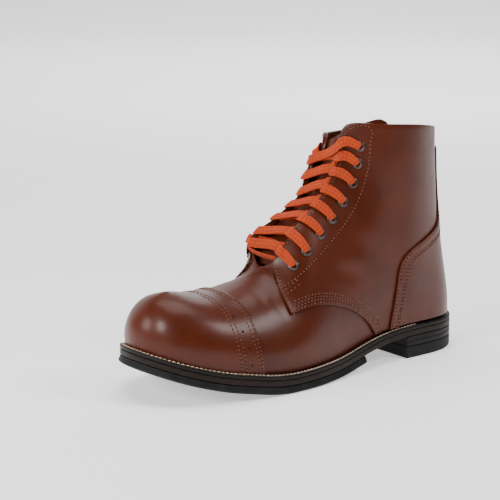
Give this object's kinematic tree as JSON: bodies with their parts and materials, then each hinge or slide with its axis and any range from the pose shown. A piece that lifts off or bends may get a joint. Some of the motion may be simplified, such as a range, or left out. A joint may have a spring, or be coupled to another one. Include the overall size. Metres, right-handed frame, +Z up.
{
  "type": "service boot",
  "caption": "Ankle-high laced leather service boot with cap toe, stitched welt, half sole and low heel, standing empty",
  "frame": {"origin": "centre of the heel's flat bottom face, on the floor", "axes": "+Z up, +Y toward the heel's back, -Y toward the toe, +X toward the outer (small-toe) side of a left foot"},
  "size_m": [0.112, 0.3053, 0.1923],
  "materials": {
    "upper_leather": "smooth reddish-brown full-grain leather, semi-gloss",
    "insole_leather": "natural tan leather, matt",
    "welt_leather": "dark stained welt leather, waxed",
    "midsole_leather": "dark red-brown sole leather, edge-dressed",
    "heel_leather": "stacked dark heel leather, edge-dressed",
    "sole_rubber": "matt black rubber",
    "eyelet_metal": "dark gunmetal",
    "lace": "flat woven rust-orange cotton"
  },
  "bodies": {
    "root": {"upper": "upper_leather", "toe_cap": "upper_leather", "quarter_lateral": "upper_leather", "quarter_medial": "upper_leather", "counter": "upper_leather", "tongue": "upper_leather", "insole": "insole_leather", "welt": "welt_leather", "midsole": "midsole_leather", "half_sole": "sole_rubber", "heel_base": "heel_leather", "heel_top_piece": "sole_rubber", "eyelet_lateral_1": "eyelet_metal", "eyelet_lateral_2": "eyelet_metal", "eyelet_lateral_3": "eyelet_metal", "eyelet_lateral_4": "eyelet_metal", "eyelet_lateral_5": "eyelet_metal", "eyelet_lateral_6": "eyelet_metal", "eyelet_lateral_7": "eyelet_metal", "eyelet_lateral_8": "eyelet_metal", "eyelet_medial_1": "eyelet_metal", "eyelet_medial_2": "eyelet_metal", "eyelet_medial_3": "eyelet_metal", "eyelet_medial_4": "eyelet_metal", "eyelet_medial_5": "eyelet_metal", "eyelet_medial_6": "eyelet_metal", "eyelet_medial_7": "eyelet_metal", "eyelet_medial_8": "eyelet_metal", "lace_bar_bottom": "lace", "lace_cross_1": "lace", "lace_cross_2": "lace", "lace_cross_3": "lace", "lace_cross_4": "lace", "lace_cross_5": "lace", "lace_cross_6": "lace", "lace_cross_7": "lace"}
  },
  "joints": []
}
